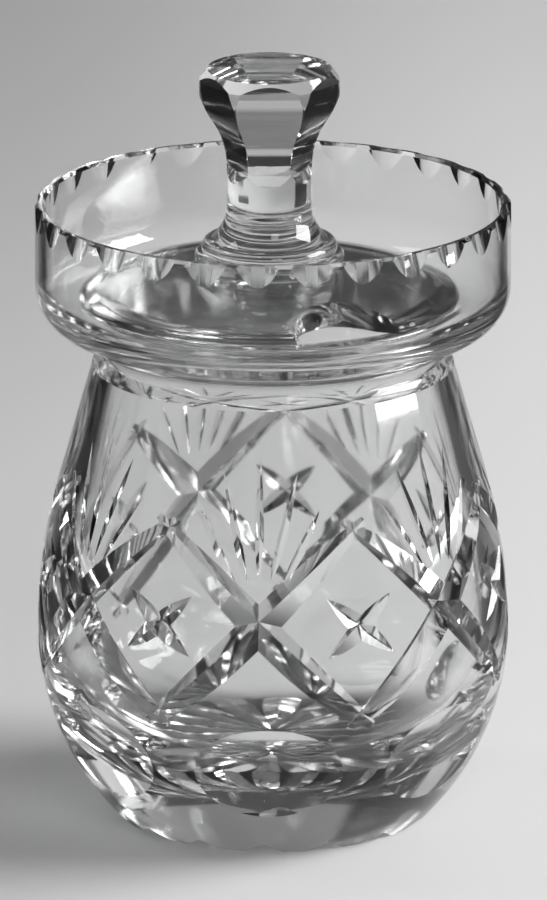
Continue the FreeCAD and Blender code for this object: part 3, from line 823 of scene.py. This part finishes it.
def studio_world(looks):
    """The room that the glass shows: dim, lighter at the right, with glows and with flags that draw edges."""
    world = bpy.data.worlds.new("studio")
    world.use_nodes = True
    shading = Shading(world.node_tree)
    x, y, z = shading.axes("Generated")
    view = (shading.math("ARCTAN2", x, y), shading.math("ARCSINE", z))
    lighter = shading.ramp(view[0], in_radians(ROOM_LIGHTER), (0, looks.room_right))
    right = shading.math("MULTIPLY", lighter, shading.ramp(view[0], in_radians(ROOM_DARKER), (1, 0)))
    level = shading.dimmed(shading.math("ADD", right, looks.room), shading.mirrored(), UNMIRRORED)
    for middle, halves, edge, strength in GLOWS:
        glow = shading.spot(view, in_radians(middle), in_radians(halves), math.radians(edge))
        level = shading.math("ADD", level, shading.math("MULTIPLY", glow, strength))
    for middle, halves, edge, part in FLAGS:
        flag = shading.spot(view, in_radians(middle), in_radians(halves), math.radians(edge))
        level = shading.dimmed(level, flag, part)
    seen = shading.ray("Is Camera Ray")
    level = shading.math("ADD", shading.dimmed(level, seen, 1), shading.math("MULTIPLY", seen, BACKDROP))
    background = world.node_tree.nodes["Background"].inputs
    background["Color"].default_value = (1, 1, 1, 1)
    shading.feed(background["Strength"], level)
    bpy.context.scene.world = world


SHEET_RADIUS = 6
SHEET_SEGMENTS = 96
SHEET_ROUGHNESS = 0.7
SHEET_SPECULAR = 0.2
# Painted light: the sheet's colour gets lighter from left to right, as if lit from the right, between two
# places across, and this change grows between two places to the back. Far off, between two distances from
# the pot, it gets lighter still, up to a level.
SIDE_ACROSS = (-0.06, 0.06)
SIDE_BACK = (0, 0.5)
FAR_STRETCH = (0.5, 1.3)
FAR_LEVEL = 1.35
# Painted shade that only the glass shows, where the room is dark: each patch on the sheet has its middle
# (degrees from behind the pot round to the right, and metres from the pot), its half size, and the part of
# the light that it takes away. All have the same soft edge.
SHADE_PATCHES = [
    ((-42, 0.3), (13, 0.13), 0.99),
    ((30, 0.32), (8, 0.05), 0.85),
    ((44, 0.75), (15, 0.35), 0.7),
    ((-48, 3.5), (9, 3), 0.85),
    ((48, 3.5), (9, 3), 0.98),
]
SHADE_PATCH_EDGE = 0.03
# The shade beneath the foot ends between two distances from the axis. It takes the first part of the light at
# the left and the second one at the right, and goes over between two places across.
BENEATH_STRETCH = (0.026, 0.045)
BENEATH_ACROSS = (-0.015, 0.015)
BENEATH_PARTS = (0.15, 0.93)
# Painted shade in the glass's reflections: the sheet beside the pot is dark where the glass mirrors it. That
# starts between two angles from straight behind the pot, in degrees, and between two distances from it.
BESIDE_TURN = (24, 30)
BESIDE_STRETCH = (0.08, 0.14)
BESIDE_PART = 0.9


def painted_sheet_level(shading, x, y, far, painted_light_fall):
    """The sheet's colour: painted light, lighter at the right than at the left, and lighter far off."""
    change = shading.ramp(y, SIDE_BACK, (0, painted_light_fall))
    side = shading.math("MULTIPLY", shading.ramp(x, SIDE_ACROSS, (-1, 1)), change)
    far_off = shading.ramp(far, FAR_STRETCH, (1, FAR_LEVEL))
    return shading.math("MULTIPLY", shading.math("ADD", side, 1), far_off)


def level_with_painted_shade(shading, level, x, y, far):
    """That level with the painted shade only the glass shows: patches, beneath the foot, and to both sides.
    """
    through, turn = shading.ray("Is Transmission Ray"), shading.math("ARCTAN2", x, y)
    for middle, halves, part in SHADE_PATCHES:
        place = (math.radians(middle[0]), middle[1])
        size = (math.radians(halves[0]), halves[1])
        shade_patch = shading.spot((turn, far), place, size, SHADE_PATCH_EDGE)
        level = shading.dimmed(level, shading.math("MULTIPLY", shade_patch, through), part)
    beneath = shading.math("MULTIPLY", shading.ramp(far, BENEATH_STRETCH, (1, 0)), through)
    level = shading.dimmed(level, beneath, shading.ramp(x, BENEATH_ACROSS, BENEATH_PARTS))
    aside = shading.math("ARCTAN2", shading.math("ABSOLUTE", x), y)
    aside = shading.ramp(aside, in_radians(BESIDE_TURN), (0, 1))
    beside = shading.math("MULTIPLY", aside, shading.ramp(far, BESIDE_STRETCH, (0, 1)))
    return shading.dimmed(level, shading.math("MULTIPLY", beside, shading.mirrored()), BESIDE_PART)


def sheet_material(looks):
    """A pale matt sheet with painted light, and painted shade out of the picture that only the glass shows.
    """
    material, shading, shader = new_material("pale sheet")
    x, y, _ = shading.axes("Object")
    far = shading.math("SQRT", shading.math("ADD", shading.math("POWER", x, 2), shading.math("POWER", y, 2)))
    level = level_with_painted_shade(shading, painted_sheet_level(shading, x, y, far, looks.painted_light_fall), x, y, far)
    shading.feed(shader["Base Color"], shading.scaled(looks.sheet, level))
    shader["Roughness"].default_value = SHEET_ROUGHNESS
    shader["Specular IOR Level"].default_value = SHEET_SPECULAR
    return material


# The felt's nap, in spots to a metre, and how dark its colour is, between two values of its noise
NAP_SCALE = 400
NAP_DETAIL = 2
NAP_STRETCH = (0.3, 0.7)
NAP_LEVELS = (0.02, 0.06)
FELT_ROUGHNESS = 0.95


def felt_material():
    """Black felt with an uneven nap."""
    material, shading, shader = new_material("black felt")
    nap = shading.ramp(shading.noise(NAP_SCALE, NAP_DETAIL), NAP_STRETCH, NAP_LEVELS)
    shading.feed(shader["Base Color"], shading.scaled((1, 1, 1), nap))
    shader["Roughness"].default_value = FELT_ROUGHNESS
    return material


# The felt card: half its width, how far behind the pot it stands, and the heights of its edges
FELT_HALF = 0.065
FELT_BACK = 0.3
FELT_LOW, FELT_HIGH = 0.055, 0.1


def standing_shade_card():
    """Painted shade: a felt card on edge behind the pot, which only the glass shows, to darken the front
    oval.
    """
    form = bmesh.new()
    left, right = -FELT_HALF, FELT_HALF
    corners = ((left, FELT_LOW), (right, FELT_LOW), (right, FELT_HIGH), (left, FELT_HIGH))
    form.faces.new([form.verts.new((x, FELT_BACK, z)) for x, z in corners])
    shade_patch = linked("studio_card", form)
    shade_patch.data.materials.append(felt_material())
    shade_patch.visible_camera = shade_patch.visible_diffuse = shade_patch.visible_glossy = shade_patch.visible_shadow = False


# The large soft box lights the scene and whitens the lid. The small strip near the pot draws the highlight on
# the shoulder. Each has its place, width and height in metres, power in watts and lean in degrees.
LAMPS = [
    ("soft box", (0.6, 0.04, 0.396), (0.44, 0.4), 7.5, 0),
    ("strip", (0.15, -0.0375, 0.0957), (0.088, 0.009), 0.04, -10.4),
]


def lamp(name, place, size, power, lean):
    """A soft box at the right of the pot that shines straight to the left."""
    data = bpy.data.lights.new(name, "AREA")
    data.shape = "RECTANGLE"
    data.size, data.size_y = size
    data.energy = power
    box = bpy.data.objects.new(name, data)
    bpy.context.scene.collection.objects.link(box)
    box.location = place
    box.rotation_mode = "QUATERNION"
    to_the_left = Vector((1, 0, 0)).to_track_quat("Z", "Y")
    box.rotation_quaternion = to_the_left @ Quaternion((0, 0, 1), math.radians(lean))
    box.visible_camera = False


CAMERA_DISTANCE = 2.5
CAMERA_TILT = math.radians(16.8)
CAMERA_CLIP = (0.1, 50)
AIM_HEIGHT = 0.05
# The photograph: its size, the place in it of the point aimed at, and its scale there
FRAME_PIXELS = (547, 900)
AIM_PIXEL = (273, 517)
PIXELS_PER_METRE = 6010


def camera():
    """The photograph's view: far off, a little from above, in front of the pot."""
    data = bpy.data.cameras.new("camera")
    eye = bpy.data.objects.new("camera", data)
    bpy.context.scene.collection.objects.link(eye)
    back = Vector((0, -math.cos(CAMERA_TILT), math.sin(CAMERA_TILT)))
    eye.location = Vector((0, 0, AIM_HEIGHT)) + back * CAMERA_DISTANCE
    eye.rotation_mode = "QUATERNION"
    eye.rotation_quaternion = (-back).to_track_quat("-Z", "Y")
    long_side = max(FRAME_PIXELS)
    data.lens = PIXELS_PER_METRE * CAMERA_DISTANCE / long_side * data.sensor_width
    data.shift_x = (FRAME_PIXELS[0] / 2 - AIM_PIXEL[0]) / long_side
    data.shift_y = (AIM_PIXEL[1] - FRAME_PIXELS[1] / 2) / long_side
    data.clip_start, data.clip_end = CAMERA_CLIP
    bpy.context.scene.camera = eye


GLASS_BOUNCES = 24
MIRROR_BOUNCES = 12


class HONEYPOT_OT_stage(bpy.types.Operator):
    """Set the floor, the studio light and the camera"""

    bl_idname = "honeypot.stage"
    bl_label = "Set stage"

    def execute(self, context):
        scene = context.scene
        form = bmesh.new()
        bmesh.ops.create_circle(form, cap_ends=True, segments=SHEET_SEGMENTS, radius=SHEET_RADIUS)
        floor = linked("studio_floor", form)
        floor.data.materials.append(sheet_material(scene.honeypot_stage))
        standing_shade_card()
        studio_world(scene.honeypot_stage)
        for values in LAMPS:
            lamp(*values)
        camera()
        scene.view_settings.view_transform = "Standard"
        scene.cycles.max_bounces = scene.cycles.transmission_bounces = GLASS_BOUNCES
        scene.cycles.glossy_bounces = MIRROR_BOUNCES
        scene.cycles.use_denoising = True
        return {"FINISHED"}


class HONEYPOT_PT_panel(bpy.types.Panel):
    """The honey pot's parts, in the order in which they are made"""

    bl_label = "Honey pot"
    bl_idname = "HONEYPOT_PT_panel"
    bl_space_type = "VIEW_3D"
    bl_region_type = "UI"
    bl_category = "Honey pot"

    def draw(self, context):
        for operator in OPERATORS:
            self.layout.operator(operator.bl_idname)
        for word in GROUPS:
            group = getattr(context.scene, word)
            for name in group.__annotations__:
                self.layout.prop(group, name)


OPERATORS = (HONEYPOT_OT_stage, HONEYPOT_OT_jar, HONEYPOT_OT_lid)
GROUPS = {
    "honeypot_jar": JarSizes,
    "honeypot_cuts": CutSizes,
    "honeypot_lid": LidSizes,
    "honeypot_glass": GlassLooks,
    "honeypot_stage": StageLooks,
}
CLASSES = (*GROUPS.values(), *OPERATORS, HONEYPOT_PT_panel)


def register():
    for kind in CLASSES:
        bpy.utils.register_class(kind)
    for word, group in GROUPS.items():
        setattr(bpy.types.Scene, word, PointerProperty(type=group))


def unregister():
    for word in GROUPS:
        delattr(bpy.types.Scene, word)
    for kind in reversed(CLASSES):
        bpy.utils.unregister_class(kind)


def main():
    register()
    bpy.ops.honeypot.stage()
    bpy.ops.honeypot.jar()
    bpy.ops.honeypot.lid()


if __name__ == "__main__":
    main()
